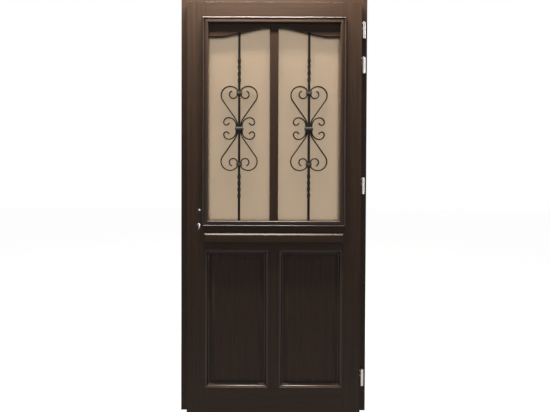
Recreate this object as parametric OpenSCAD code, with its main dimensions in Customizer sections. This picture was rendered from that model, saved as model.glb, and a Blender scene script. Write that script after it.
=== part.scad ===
// Glazed front door in its frame, seen from outside: X runs to the right, Y runs into
// the building, Z runs up. The origin lies under the middle of the threshold.
// The leaf overlaps the frame's outside face, opens outwards and hangs at the right.

/* [Frame] */
// Overall width of the frame
frame_w = 930; // [880:5:980]
// Overall height of the frame with its threshold
frame_h = 2100; // [2010:1:2180]
// Depth of the frame from its outside face to its inside face
frame_d = 90; // [80:1:110]
// Thickness of the jambs and the head beside the leaf
jamb_t = 43; // [36:1:46]
// How far the stop stands in from the jamb
stop_t = 15; // [12:1:20]
// Length of the tenons that carry the head
head_tenon_l = 24; // [15:1:30]
// Height of the threshold under the jambs
sill_h = 20; // [16:1:26]
// Height of the threshold's upstand behind the leaf
upstand_h = 20; // [16:1:24]
// Depth of the threshold's upstand
upstand_d = 12; // [8:1:16]
// Wall thickness of the threshold's aluminium section
sill_wall = 3; // [2:0.5:4]

/* [Leaf] */
// Thickness of the leaf
leaf_t = 68; // [64:1:74]
// How far the lap stands out past the leaf's body
lap_w = 16; // [13:1:18]
// Thickness of the lap
lap_t = 18; // [16:1:22]
// Gap between the lap and the frame's outside face
lap_gap = 3; // [2:0.5:4]
// Gap between the leaf's body and the frame beside it
edge_gap = 4; // [3:0.5:5]
// Gap between the leaf's body and the threshold under it
foot_gap = 5; // [3:0.5:7]
// Gap between the leaf's inside face and the stop
seal_gap = 4; // [3:0.5:5]

/* [Stiles and rails] */
// Width of a stile on the outside face
stile_w = 91; // [88:1:96]
// Height of the top rail on the outside face
top_rail_w = 88.5; // [80:0.5:100]
// Height of the lock rail between window and panels
lock_rail_h = 131; // [125:1:140]
// Height of the two panel openings
panel_open_h = 694; // [675:1:698]
// Height of the bottom rail on the outside face
bottom_rail_w = 133; // [120:1:135]
// Width of the post between the panels
post_w = 54; // [50:1:64]
// Length of the tenons of the rails
tenon_l = 45; // [38:1:46]
// Thickness of the tenons
tenon_t = 20; // [16:1:24]
// Height of the lock rail's tenon, kept below the lock
lock_tenon_h = 50; // [40:1:55]
// Length of the tenons of the post
post_tenon_l = 34; // [25:1:36]

/* [Panels] */
// How far the panels' edges lie behind the leaf's faces
panel_set = 19; // [17:0.5:21]
// Depth of the grooves that hold the panels
groove_d = 12; // [10:0.5:14]
// Room left for the panels to swell in their grooves
groove_room = 2; // [1:0.5:3]
// Height of a panel's raised field above its edge
field_rise = 10; // [7:0.5:12]
// Width of the bevel round the field
bevel_w = 27; // [20:1:34]
// Step from the bevel up to the field
field_step = 1.5; // [1:0.5:2.5]
// Width of the mouldings round the panels
panel_mould_w = 20; // [19:1:24]

/* [Window] */
// How far the glass lies behind the leaf's outside face
glass_set = 26; // [24:0.5:28]
// Thickness of one pane
pane_t = 4; // [3:0.5:5]
// Gap between the two panes
pane_gap = 16; // [12:1:18]
// Thickness of the blocks that the glass stands on
block_t = 4; // [3:0.5:5]
// How far the window's moulding laps over the stiles and rails
mould_over = 13; // [13:0.5:15]
// How far the window's moulding stands out from the leaf
mould_proud = 9; // [7:0.5:12]
// How far the window's moulding covers the glass
mould_in = 15; // [14:0.5:17]
// Width of the bar that divides the window
glazing_bar_w = 42; // [36:1:50]
// How far the glazing bar and the arch lie behind the leaf's outside face
bar_set = 5; // [3:0.5:6]
// Height of the arch board above the crown of the arch
crown_h = 15.5; // [12:0.5:30]
// Drop of the arch from its crown to its feet
arch_drop = 48; // [42:1:54]
// Radius of the arch at its crown
crown_r = 420; // [380:5:460]
// Radius of the arch at its feet
foot_r = 200; // [160:5:240]
// Steepest slope of the arch in degrees
arch_slope = 13; // [12:0.5:14]

/* [Drip ledge] */
// Length of the drip ledge at its back
ledge_w = 706; // [660:1:760]
// Height of the drip ledge
ledge_h = 51; // [46:1:56]
// How far the drip ledge stands out
ledge_d = 14; // [12:1:20]
// Fall of the ledge's top from back to front
ledge_fall = 11; // [8:0.5:13]
// How far each end of the ledge is splayed back
ledge_splay = 13; // [8:1:18]
// Height of the drip ledge's foot above the panels
ledge_up = 37; // [34:1:40]

/* [Grille] */
// Width of the square upright bars
iron_bar = 12; // [10:0.5:13]
// Thickness of the scrolls' flat iron
scroll_t = 6; // [5:0.5:8]
// Depth of the scrolls' flat iron
scroll_d = 12; // [9:0.5:12]
// Gap between pieces that are bound in one collar
bind_gap = 0.1; // [0.05:0.05:0.2]
// How far the bars are let into the wood at each end
bar_let_in = 10; // [7:0.5:11]
// How far the grille's centre lies below the middle of the bar
grille_low = 8; // [0:1:12]
// Radius of a main scroll's first bend
scroll_start_r = 60; // [50:1:70]
// Lean of a main scroll's straight run in degrees
scroll_lean = 35; // [32:1:38]
// Radius of a main scroll's big bend
scroll_r = 45; // [40:1:48]
// Radius of the bend that brings a main scroll to the bar
scroll_close_r = 15; // [12:1:20]
// Radius of the curl below the small collar
curl_r = 20; // [17:0.5:22]
// Radius of a side scroll's first bend
side_r = 38; // [34:1:42]
// Radius of a side scroll's second bend
side_mid_r = 24; // [21:0.5:27]
// Radius of a side scroll's curl
side_curl_r = 13; // [11:0.5:15]
// Half the length along which the scrolls lie against the bar
bound_l = 16; // [14:1:20]
// Height of the centre collar
centre_collar_h = 16; // [12:1:24]
// Height of the small collars
small_collar_h = 14; // [12:1:20]
// Wall of the collars
collar_wall = 2.2; // [1.5:0.1:2.4]
// How far the raised band stands out from a centre collar
collar_band = 1.2; // [0.8:0.1:1.4]
// Distance from the grille's centre to the twisted stretches
twist_start = 226; // [222:1:232]
// Length of a twisted stretch
twist_l = 127; // [110:1:130]

/* [Hinges] */
// Radius of the hinges' barrels
barrel_r = 8; // [7:0.5:9]
// Height of a hinge
hinge_h = 82; // [74:1:90]
// How far the hinges' axis lies outside the edge of the lap
axis_out = 11.5; // [10.5:0.5:13]
// Radius of the hinge pins
pin_r = 4; // [3:0.5:4.5]
// Running fit of a pin in the leaf's knuckle, on the radius
pin_fit = 0.05; // [0.02:0.01:0.08]
// Thickness of the thrust washers
washer_t = 1.2; // [1:0.1:2]
// Radius of the threaded studs
stud_r = 3.5; // [3:0.25:4]
// Distance of the outer stud from the end of the barrel
stud_end = 6.4; // [5:0.2:8]
// Distance between the two studs of a knuckle
stud_pitch = 24.6; // [20:0.2:27]
// Length of the studs in the wood
stud_l = 38; // [30:1:42]
// Depth of the top hinge's middle below the leaf's top
hinge_top = 136; // [120:1:150]
// Distance from the top hinge to the one below it
hinge_pair = 174; // [160:1:190]
// Height of the third hinge's middle
hinge_mid_z = 1158; // [1120:1:1170]
// Height of the lowest hinge's middle
hinge_low_z = 194; // [165:1:200]

/* [Lock] */
// Height of the spindle above the panel openings
lock_up = 197; // [194:1:216]
// Distance from the faceplate's face to the spindle
backset = 42; // [40:1:45]
// Distance from the spindle down to the keyhole's round part
key_drop = 72; // [70:1:78]
// Radius of the spindle hole in the wood
spindle_hole_r = 10; // [9.5:0.25:11]
// Radius of the follower's hub in the case
hub_r = 9; // [8:0.25:9]
// Width of the square hole in the follower
spindle_sq = 8; // [7:0.5:9]
// Radius of the keyhole's round part
key_r = 9; // [8.5:0.25:9.5]
// Width of the keyhole's slot
key_slot_w = 11; // [10.5:0.5:12]
// Height of the whole keyhole
key_h = 35; // [33:1:36]
// Thickness of the lock case
case_t = 15; // [14:0.5:16]
// Thickness of the case's sheet
sheet_t = 1.5; // [1:0.25:1.5]
// Height of the case above the spindle
case_up = 45; // [42:1:50]
// Depth of the case below the spindle
case_down = 120; // [114:1:122]
// Depth of the case behind the spindle
case_back = 22; // [21:0.5:24]
// Width of the faceplate
plate_w = 20; // [18:1:22]
// Height of the faceplate
plate_h = 235; // [230:1:240]
// Thickness of the faceplate and the strike plate
plate_t = 3; // [2:0.25:3]
// Throw of the latch bolt
latch_throw = 11; // [9:0.5:11]
// Height of the latch bolt
latch_h = 20; // [16:1:20]
// Thickness of the bolts
bolt_t = 11; // [8:0.5:11]
// Height of the latch bolt's middle above the spindle
latch_up = 24; // [24:0.5:27]
// Turn of the follower in degrees
follower_turn = 30; // [28:1:32]
// Throw of the dead bolt
dead_throw = 20; // [14:1:20]
// Height of the dead bolt
dead_h = 28; // [22:1:28]
// Depth of the dead bolt's middle below the spindle
dead_down = 44; // [43:0.5:45]
// Sliding clearance round the bolts
slide_gap = 0.3; // [0.2:0.05:0.5]
// Room round the bolts in the strike plate and its pockets
strike_room = 3; // [2:0.5:4]
// Width of the strike plate
strike_w = 24; // [22:1:28]
// Height of the strike plate beyond each bolt's middle
strike_end = 38; // [34:1:44]
// Length of the wood screws
screw_l = 22; // [16:1:24]
// Radius of the wood screws
screw_r = 2; // [1.5:0.25:2.25]
// Radius of the screws' heads
screw_head_r = 4; // [3.5:0.25:4.5]

/* [Fixings and seal] */
// Radius of the holes for the wall screws
fixing_r = 5; // [4:0.5:6]
// Distance of those holes from the frame's inside face
fixing_in = 20; // [15:1:25]
// Distance of the outermost holes from the frame's ends
fixing_end = 240; // [200:5:300]
// Width of the seal's root in its kerf
seal_root_w = 3; // [2:0.25:4]
// Depth of the seal's kerf
seal_root_d = 5; // [4:0.25:6]
// Width of the seal's bulb
seal_bulb_w = 7; // [5:0.25:8]
// Running gap between the seal and the leaf
seal_clear = 0.3; // [0.2:0.05:0.5]

/* [Hidden] */
$fn = 64;

// Overshoot of a cut past the face that it opens
cut = 1;
// Clearance of pieces that are pushed together in one body
fit = 0.05;

// Planes of the frame, from outside to inside
frame_y0 = -frame_d / 2;
frame_y1 = frame_d / 2;
lap_y = frame_y0 - lap_gap;
face_y = lap_y - lap_t;
back_y = face_y + leaf_t;
stop_y = back_y + seal_gap;
mid_y = (face_y + back_y) / 2;

// Sides and heights of frame and leaf
jamb_x = frame_w / 2 - jamb_t;
stop_x = jamb_x - stop_t;
head_z = frame_h - jamb_t;
stop_z = head_z - stop_t;
upstand_z = sill_h + upstand_h;
body_x = jamb_x - edge_gap;
lap_x = body_x + lap_w;
body_z0 = sill_h + foot_gap;
body_z1 = head_z - edge_gap;
lap_z0 = body_z0 - lap_w;
lap_z1 = body_z1 + lap_w;

// Openings between the stiles and rails
stile_x = lap_x - stile_w;
post_x = post_w / 2;
panel_z0 = lap_z0 + bottom_rail_w;
panel_z1 = panel_z0 + panel_open_h;
window_z0 = panel_z1 + lock_rail_h;
window_z1 = lap_z1 - top_rail_w;
panel_cx = (post_x + stile_x) / 2;
panel_cz = (panel_z0 + panel_z1) / 2;
panel_hw = (stile_x - post_x) / 2;
panel_hh = panel_open_h / 2;
groove_y0 = face_y + panel_set;
groove_y1 = back_y - panel_set;
tenon_y0 = mid_y - tenon_t / 2;
tenon_y1 = mid_y + tenon_t / 2;
// Wood left between a tenon and the edge of its rail
tenon_shoulder = 12;
// Lowest and highest point of the tenons of the top, lock and bottom rail
TENONS = [
    [window_z1 + tenon_shoulder, body_z1 - tenon_shoulder],
    [panel_z1 + groove_d + 2, panel_z1 + groove_d + 2 + lock_tenon_h],
    [body_z0 + tenon_shoulder, panel_z0 - groove_d - 2]];
post_tenon_x = post_x - groove_d;

// Planes and edges of the window
glass_y = face_y + glass_set;
unit_t = 2 * pane_t + pane_gap;
bead_y = glass_y + unit_t;
bar_y = face_y + bar_set;
sight_x = stile_x - mould_in;
sight_z0 = window_z0 + mould_in;
sight_z1 = window_z1 - mould_in;
window_cz = (window_z0 + window_z1) / 2;
window_hh = (window_z1 - window_z0) / 2;
glass_x = stile_x - block_t;
glass_z0 = window_z0 + block_t;
glass_z1 = window_z1 - block_t;
crown_z = sight_z1 - crown_h;
arch_foot_z = crown_z - arch_drop;
crown_end = crown_r * sin(arch_slope);
crown_fall = crown_r * (1 - cos(arch_slope));
slope_dx = (arch_drop - (crown_r + foot_r) * (1 - cos(arch_slope))) / tan(arch_slope);
arch_foot_x = crown_end + slope_dx + foot_r * sin(arch_slope);

// Places of the grilles
grille_x = (glazing_bar_w / 2 + sight_x) / 2;
grille_y = (bar_y + glass_y) / 2;
arch_at_bar = crown_z - crown_fall - (grille_x - crown_end) * tan(arch_slope);
bar_z0 = sight_z0 - bar_let_in;
bar_z1 = arch_at_bar + bar_let_in + 2;
grille_z = (sight_z0 + arch_at_bar) / 2 - grille_low;
// Steps in which bends are drawn
bend_step = 5;
main_x = iron_bar / 2 + bind_gap + scroll_t / 2;
side_x = main_x + scroll_t + bind_gap;
// Straight stretch inside a small collar
collar_run = small_collar_h + 1;
scroll_run = (scroll_r * (1 - cos(135)) + scroll_close_r * (1 + cos(135))
    - (scroll_start_r + scroll_r) * (1 - cos(scroll_lean))) / sin(scroll_lean);
small_collar_z = bound_l + (scroll_start_r + scroll_r) * sin(scroll_lean)
    + scroll_run * cos(scroll_lean) + (scroll_r - scroll_close_r) * sin(135)
    - collar_run / 2;
MAIN_LEGS = [[bound_l], [scroll_start_r, scroll_lean], [scroll_run],
    [scroll_r, -scroll_lean - 135], [scroll_close_r, -45], [collar_run],
    [curl_r + 1, -90], [curl_r - 1, -90], [curl_r - 2, -75]];
SIDE_LEGS = [[bound_l], [side_r, 90], [side_mid_r, 90], [side_curl_r, 140], [8]];

// Places of the hinges
hinge_x = lap_x + axis_out;
hinge_y = (face_y + lap_y) / 2;
HINGE_Z = [lap_z1 - hinge_top, lap_z1 - hinge_top - hinge_pair, hinge_mid_z, hinge_low_z];
// Thickness of a barrel's closed end
barrel_end = 4;

// Places in the lock, with distances towards the faceplate counted from the spindle
lock_x = -(body_x - backset);
lock_z = panel_z1 + lock_up;
lock_y = (lap_y + back_y) / 2;
case_y0 = lock_y - case_t / 2;
case_y1 = lock_y + case_t / 2;
inner_y0 = case_y0 + sheet_t;
inner_y1 = case_y1 - sheet_t;
case_z0 = lock_z - case_down;
case_z1 = lock_z + case_up;
case_x0 = -(body_x - plate_t);
case_x1 = lock_x + case_back;
plate_z1 = case_z1 + (plate_h - case_up - case_down) / 2;
plate_z0 = plate_z1 - plate_h;
key_z = lock_z - key_drop;
latch_z = lock_z + latch_up;
dead_z = lock_z - dead_down;
arm_r = latch_throw / sin(follower_turn);
arm_w = 5;
hook_gap = 0.6;
hook_x = latch_throw + arm_w / 2 + hook_gap;
hook_t = 4;
tail_h = 5;
guide_r = 3.7;
guide_x = 14;
bolt_inner_w = bolt_t;
strike_z0 = dead_z - strike_end;
strike_z1 = latch_z + strike_end;

// Colours
wood = [0.23, 0.17, 0.14];
iron = [0.11, 0.10, 0.10];
nickel = [0.78, 0.77, 0.75];
steel = [0.62, 0.63, 0.65];
alloy = [0.82, 0.81, 0.79];
rubber = [0.07, 0.07, 0.07];
satin_glass = [0.80, 0.74, 0.64, 0.6];
clear_glass = [0.80, 0.84, 0.82, 0.4];

// Shared shapes

// A block between two opposite corners
module slab(lo, hi) {
    translate(lo) cube(hi - lo);
}

// A block that is the same on the left and on the right
module wide_slab(x, lo, hi) {
    slab([-x, lo[0], lo[1]], [x, hi[0], hi[1]]);
}

// A round rod along Y between two planes
module rod_y(x, z, r, y0, y1) {
    translate([x, y1, z]) rotate([90, 0, 0]) cylinder(r = r, h = y1 - y0);
}

// A round rod along X between two planes
module rod_x(y, z, r, x0, x1) {
    translate([x0, y, z]) rotate([0, 90, 0]) cylinder(r = r, h = x1 - x0);
}

// One mitred side of a frame of mouldings, k counting from the bottom one round to the
// right. Its section is drawn with x out from the wood and y in from the outer edge.
module mitred_side(half_w, half_h, band, k, side = -1) {
    along = k % 2 == 0 ? half_w : half_h;
    away = k % 2 == 0 ? half_h : half_w;
    rotate([0, -90 * k, 0]) translate([0, 0, -away]) intersection() {
        rotate([90, 0, 90 * side]) linear_extrude(2 * along, center = true) children();
        rotate([90, 0, 0]) linear_extrude(2 * leaf_t, center = true)
            polygon([[fit - along, 0], [along - fit, 0], [along - band - fit, band],
                [band + fit - along, band]]);
    }
}

// Frame

// The ring along which the seal runs, as wide and as deep as asked
module seal_ring(w, y0, y1) {
    x = (stop_x + jamb_x) / 2;
    z0 = sill_h + upstand_h / 2;
    z1 = (stop_z + head_z) / 2;
    difference() {
        slab([-x - w / 2, y0, z0 - w / 2], [x + w / 2, y1, z1 + w / 2]);
        slab([-x + w / 2, y0 - cut, z0 + w / 2], [x - w / 2, y1 + cut, z1 - w / 2]);
    }
}

module seal_kerf() {
    seal_ring(seal_root_w + 2 * fit, stop_y - cut, stop_y + seal_root_d + fit);
}

module frame_seal() {
    color(rubber) union() {
        seal_ring(seal_root_w, stop_y, stop_y + seal_root_d);
        seal_ring(seal_bulb_w, back_y + seal_clear + 1, stop_y);
        seal_ring(seal_bulb_w - 2, back_y + seal_clear, back_y + seal_clear + 1);
    }
}

module head_tenons(grow) {
    wide_slab(jamb_x + head_tenon_l + grow, [mid_y - grow, head_z + 8 - grow],
        [mid_y + tenon_t + grow, frame_h - 8 + grow]);
}

module fixing_holes() {
    y = frame_y1 - fixing_in;
    for (z = [fixing_end, frame_h / 2, frame_h - fixing_end])
        rod_x(y, z, fixing_r, stop_x - cut, frame_w / 2 + cut);
}

module jamb_blank() {
    difference() {
        union() {
            slab([jamb_x, frame_y0, sill_h], [frame_w / 2, frame_y1, frame_h]);
            slab([stop_x, stop_y, sill_h], [jamb_x, frame_y1, frame_h]);
        }
        seal_kerf();
        head_tenons(fit);
        fixing_holes();
    }
}

module jamb_hinge_side() {
    color(wood) difference() {
        jamb_blank();
        for (z = HINGE_Z) knuckle_studs(z, fit);
    }
}

module jamb_lock_side() {
    color(wood) difference() {
        mirror([1, 0, 0]) jamb_blank();
        strike_recess();
        bolt_room(latch_z, latch_h, latch_throw + strike_room);
        bolt_room(dead_z, dead_h, dead_throw + strike_room);
        for (z = [strike_z0 + 10, strike_z1 - 10])
            rod_x(lock_y, z, screw_r + fit, -jamb_x - screw_l - fit, -jamb_x + cut);
    }
}

module frame_head() {
    color(wood) difference() {
        union() {
            wide_slab(jamb_x, [frame_y0, head_z], [stop_y, frame_h]);
            wide_slab(stop_x, [stop_y, stop_z], [frame_y1, frame_h]);
            head_tenons(0);
        }
        seal_kerf();
    }
}

module threshold() {
    room = (frame_d - 4 * sill_wall) / 3;
    color(alloy) difference() {
        union() {
            wide_slab(frame_w / 2, [frame_y0, 0], [frame_y1, sill_h]);
            wide_slab(stop_x, [stop_y, 0], [stop_y + upstand_d, upstand_z]);
        }
        seal_kerf();
        for (i = [0:2]) {
            y = frame_y0 + sill_wall + i * (room + sill_wall);
            wide_slab(frame_w / 2 + cut, [y, sill_wall], [y + room, sill_h - sill_wall]);
        }
    }
}

// Strike plate

module strike_recess() {
    slab([-jamb_x - plate_t, lock_y - strike_w / 2, strike_z0],
        [-jamb_x + cut, lock_y + strike_w / 2, strike_z1]);
}

// Room for a bolt that comes out to the given depth behind the jamb's face
module bolt_room(z, h, deep) {
    slab([-jamb_x - deep, lock_y - bolt_t / 2 - strike_room, z - h / 2 - strike_room],
        [-jamb_x + cut, lock_y + bolt_t / 2 + strike_room, z + h / 2 + strike_room]);
}

// A countersunk wood screw, driven along X towards dir from the face at x
module wood_screw(x, z, dir) {
    translate([x, lock_y, z]) rotate([0, 90 * dir, 0]) {
        cylinder(r = screw_r, h = screw_l);
        cylinder(r1 = screw_head_r, r2 = screw_r, h = plate_t - 0.5);
    }
}

module strike_plate() {
    color(nickel) difference() {
        slab([-jamb_x - plate_t, lock_y - strike_w / 2 + fit, strike_z0 + fit],
            [-jamb_x, lock_y + strike_w / 2 - fit, strike_z1 - fit]);
        bolt_room(latch_z, latch_h, plate_t + cut);
        bolt_room(dead_z, dead_h, plate_t + cut);
        for (z = [strike_z0 + 10, strike_z1 - 10]) screw_seat(-jamb_x, z, -1);
    }
}

// The countersunk hole in a plate, for a screw driven along X towards dir
module screw_seat(x, z, dir) {
    translate([x, lock_y, z]) rotate([0, 90 * dir, 0]) {
        cylinder(r = screw_r + fit, h = plate_t + cut);
        cylinder(r1 = screw_head_r + fit, r2 = screw_r + fit, h = plate_t - 0.5);
        translate([0, 0, -cut]) cylinder(r = screw_head_r + fit, h = cut);
    }
}

module strike_screws() {
    color(nickel) for (z = [strike_z0 + 10, strike_z1 - 10]) wood_screw(-jamb_x, z, -1);
}

// Hinges

module knuckle_studs(z, grow) {
    for (dz = [stud_end, stud_end + stud_pitch])
        rod_y(hinge_x, z - hinge_h / 2 + dz, stud_r + grow, hinge_y, frame_y0 + stud_l + grow);
}

module leaf_studs(z, grow) {
    for (dz = [stud_end, stud_end + stud_pitch])
        rod_x(hinge_y, z + hinge_h / 2 - dz, stud_r + grow, lap_x - stud_l - grow, hinge_x);
}

// A barrel with a chamfered closed end, its open end at height 0
module barrel(h, bore_r) {
    difference() {
        union() {
            cylinder(r = barrel_r, h = h - 1);
            translate([0, 0, h - 1]) cylinder(r1 = barrel_r, r2 = barrel_r - 1, h = 1);
        }
        translate([0, 0, -cut]) cylinder(r = bore_r, h = h - barrel_end + cut);
    }
}

module frame_knuckle(z) {
    h = (hinge_h - washer_t) / 2;
    color(nickel) difference() {
        union() {
            translate([hinge_x, hinge_y, z - washer_t / 2]) mirror([0, 0, 1]) barrel(h, pin_r + fit);
            knuckle_studs(z, 0);
        }
        translate([hinge_x, hinge_y, z - hinge_h / 2 + barrel_end])
            cylinder(r = pin_r + fit, h = hinge_h);
    }
}

module leaf_knuckle(z) {
    gap = 0.3;
    h = (hinge_h - washer_t) / 2 - gap;
    color(nickel) difference() {
        union() {
            translate([hinge_x, hinge_y, z + washer_t / 2 + gap]) barrel(h, pin_r + pin_fit);
            leaf_studs(z, 0);
        }
        translate([hinge_x, hinge_y, z]) cylinder(r = pin_r + pin_fit, h = hinge_h / 2 - barrel_end);
    }
}

module hinge_pins() {
    color(steel) for (z = HINGE_Z)
        translate([hinge_x, hinge_y, z - hinge_h / 2 + barrel_end])
            cylinder(r = pin_r, h = hinge_h - 2 * barrel_end - 0.5);
}

module hinge_washers() {
    color(steel) for (z = HINGE_Z)
        translate([hinge_x, hinge_y, z - washer_t / 2]) difference() {
            cylinder(r = barrel_r - 0.5, h = washer_t);
            translate([0, 0, -cut]) cylinder(r = pin_r + fit, h = washer_t + 2 * cut);
        }
}

// Stiles, rails and post

module stile_blank() {
    difference() {
        union() {
            slab([stile_x, face_y, body_z0], [body_x, back_y, body_z1]);
            slab([stile_x, face_y, lap_z0], [lap_x, lap_y, lap_z1]);
        }
        panel_groove();
        for (t = TENONS) rail_tenon(t, fit);
    }
}

// The grooves round both panel openings
module panel_groove() {
    for (side = [-1, 1]) translate([side * panel_cx, 0, panel_cz])
        slab([-panel_hw - groove_d, groove_y0, -panel_hh - groove_d],
            [panel_hw + groove_d, groove_y1, panel_hh + groove_d]);
}

// The pair of tenons at the ends of one rail
module rail_tenon(t, grow) {
    wide_slab(stile_x + tenon_l + 2 * grow, [tenon_y0 - grow, t[0] - grow],
        [tenon_y1 + grow, t[1] + grow]);
}

module stile_hinge_side() {
    color(wood) difference() {
        stile_blank();
        for (z = HINGE_Z) leaf_studs(z, fit);
    }
}

module stile_lock_side() {
    color(wood) difference() {
        mirror([1, 0, 0]) stile_blank();
        slab([case_x0 - cut, case_y0 - fit, case_z0 - fit], [case_x1 + fit, case_y1 + fit, case_z1 + fit]);
        slab([-body_x - cut, lock_y - plate_w / 2 - fit, plate_z0 - fit],
            [-body_x + plate_t, lock_y + plate_w / 2 + fit, plate_z1 + fit]);
        rod_y(lock_x, lock_z, spindle_hole_r, face_y - cut, back_y + cut);
        keyhole(face_y - cut, back_y + cut);
        for (z = [plate_z0 + 12, plate_z1 - 12])
            rod_x(lock_y, z, screw_r + fit, -body_x - cut, -body_x + screw_l + fit);
    }
}

module top_rail() {
    color(wood) union() {
        wide_slab(stile_x, [face_y, window_z1], [back_y, body_z1]);
        wide_slab(stile_x, [face_y, body_z1], [lap_y, lap_z1]);
        rail_tenon(TENONS[0], 0);
    }
}

module lock_rail() {
    color(wood) difference() {
        union() {
            wide_slab(stile_x, [face_y, panel_z1], [back_y, window_z0]);
            rail_tenon(TENONS[1], 0);
        }
        panel_groove();
        post_tenons(fit);
    }
}

module bottom_rail() {
    color(wood) difference() {
        union() {
            wide_slab(stile_x, [face_y, body_z0], [back_y, panel_z0]);
            wide_slab(stile_x, [face_y, lap_z0], [lap_y, body_z0]);
            rail_tenon(TENONS[2], 0);
        }
        panel_groove();
        post_tenons(fit);
    }
}

module post_tenons(grow) {
    wide_slab(post_tenon_x + grow, [tenon_y0 - grow, panel_z0 - post_tenon_l - 2 * grow],
        [tenon_y1 + grow, panel_z1 + post_tenon_l + 2 * grow]);
}

module centre_post() {
    color(wood) difference() {
        union() {
            wide_slab(post_x, [face_y, panel_z0], [back_y, panel_z1]);
            post_tenons(0);
        }
        panel_groove();
    }
}

// Panels

// Height of a raised field over its panel's edge, along one direction
module field_section(half) {
    polygon([[-half, 0], [-half, -2], [half, -2], [half, 0], [half - bevel_w, field_rise - field_step],
        [half - bevel_w, field_rise], [bevel_w - half, field_rise],
        [bevel_w - half, field_rise - field_step]]);
}

module raised_field() {
    hw = panel_hw - panel_mould_w;
    hh = panel_hh - panel_mould_w;
    intersection() {
        translate([0, 0, -hh]) mirror([0, 1, 0]) linear_extrude(2 * hh) field_section(hw);
        translate([-hw, 0, 0]) rotate([90, 0, 90]) linear_extrude(2 * hw)
            rotate(90) field_section(hh);
    }
}

module panel(side) {
    reach = groove_d - groove_room;
    hw = panel_hw + reach;
    hh = panel_hh + reach;
    color(wood) translate([side * panel_cx, 0, panel_cz]) union() {
        slab([-hw, groove_y0 + fit, -hh], [hw, groove_y1 - fit, hh]);
        translate([0, groove_y0 + fit, 0]) raised_field();
        translate([0, groove_y1 - fit, 0]) mirror([0, 1, 0]) raised_field();
    }
}

// Section of the moulding round a panel: a fillet, a quarter round and a hollow
module panel_mould_section() {
    d = panel_set;
    r = 9;
    foot = 3;
    translate([-d, 0]) square([d, 4]);
    translate([-d, 0]) square([d - r - 1, 4 + r]);
    translate([-d, 0]) square([foot, panel_mould_w]);
    intersection() {
        translate([-r - 1, 4]) circle(r);
        translate([-r - 1, 4]) square(r);
    }
    difference() {
        translate([-d, 4 + r]) square([foot + 5, 5]);
        translate([-d + foot + 5, 4 + r + 5]) circle(5);
    }
}

module panel_moulding(side) {
    color(wood) translate([side * panel_cx, face_y, panel_cz])
        for (k = [0:3])
            mitred_side(panel_hw, panel_hh, panel_mould_w, k) panel_mould_section();
}

// Section of an inside bead with a rounded edge, standing on glass or panel
module bead_section(w, h) {
    r = 6;
    square([h - r, w]);
    square([h, w - r]);
    translate([h - r, w - r]) circle(r);
}

module panel_beads(side) {
    color(wood) translate([side * panel_cx, groove_y1, panel_cz])
        for (k = [0:3])
            mitred_side(panel_hw, panel_hh, panel_mould_w, k, 1)
                bead_section(panel_mould_w, panel_set);
}

// Window

// Section of the window's moulding: a bead, a groove and a round that falls to the glass
module window_mould_section() {
    w = mould_over + mould_in;
    r = 13;
    square([mould_proud - 5, 4.5]);
    translate([mould_proud - 5, 2.25]) circle(2.25);
    square([2.5, mould_over]);
    translate([fit - glass_set, mould_over]) square([glass_set + 0.5, mould_in]);
    intersection() {
        translate([mould_proud - r, w - 12]) circle(r);
        polygon([[0, mould_over - 4], [mould_proud + cut, mould_over - 4], [mould_proud + cut, w],
            [-8, w], [-8, mould_over + 1], [0, mould_over + 1]]);
    }
}

module window_moulding(k) {
    translate([0, face_y, window_cz])
        mitred_side(stile_x + mould_over, window_hh + mould_over, mould_over + mould_in, k)
            window_mould_section();
}

module window_moulding_bottom() {
    color(wood) difference() {
        window_moulding(0);
        for (side = [-1, 1]) bar_hole(side);
    }
}

// The square holes that take the ends of a grille's bar
module bar_hole(side) {
    w = iron_bar / 2 + fit;
    translate([side * grille_x, grille_y, 0]) slab([-w, -w, bar_z0 - fit], [w, w, bar_z1 + fit]);
}

module glazing_beads() {
    color(wood) translate([0, bead_y, window_cz])
        for (k = [0:3])
            mitred_side(stile_x, window_hh, mould_in, k, 1)
                bead_section(mould_in, back_y - bead_y);
}

// Points on an arc
function arc(cx, cz, r, a0, a1, n = 12) =
    [for (i = [0:n]) let (a = a0 + (a1 - a0) * i / n) [cx + r * cos(a), cz + r * sin(a)]];

function mirrored(points) = [for (i = [len(points) - 1:-1:0]) [-points[i][0], points[i][1]]];

// The arch board between the mouldings, with its edge in crown, slope and foot
module arch_board(y0, y1) {
    edge = concat(arc(0, crown_z - crown_r, crown_r, 90, 90 - arch_slope),
        arc(arch_foot_x, arch_foot_z + foot_r, foot_r, 270 - arch_slope, 270),
        [[sight_x, arch_foot_z], [sight_x, sight_z1]]);
    translate([0, y1, 0]) rotate([90, 0, 0]) linear_extrude(y1 - y0)
        polygon(concat(edge, mirrored([for (i = [1:len(edge) - 1]) edge[i]])));
}

module arch_board_outside() {
    color(wood) difference() {
        arch_board(bar_y, glass_y - fit);
        for (side = [-1, 1]) bar_hole(side);
    }
}

module arch_board_inside() {
    color(wood) arch_board(bead_y + fit, back_y - bar_set);
}

// A glazing bar on one side of the glass, coped under the arch, with bevelled edges
module glazing_bar(y0, y1, front) {
    w = glazing_bar_w / 2;
    b = 4;
    back = front < 0 ? y1 : y0;
    face = front < 0 ? y0 : y1;
    difference() {
        translate([0, 0, sight_z0]) linear_extrude(crown_z - sight_z0)
            polygon([[-w, back], [-w, face - front * b], [b - w, face], [w - b, face],
                [w, face - front * b], [w, back]]);
        arch_board(y0 - cut, y1 + cut);
    }
}

module glazing_bar_outside() {
    color(wood) glazing_bar(bar_y, glass_y - fit, -1);
}

module glazing_bar_inside() {
    color(wood) glazing_bar(bead_y + fit, back_y - bar_set, 1);
}

module outer_pane() {
    color(satin_glass) wide_slab(glass_x, [glass_y, glass_z0], [glass_y + pane_t, glass_z1]);
}

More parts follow.
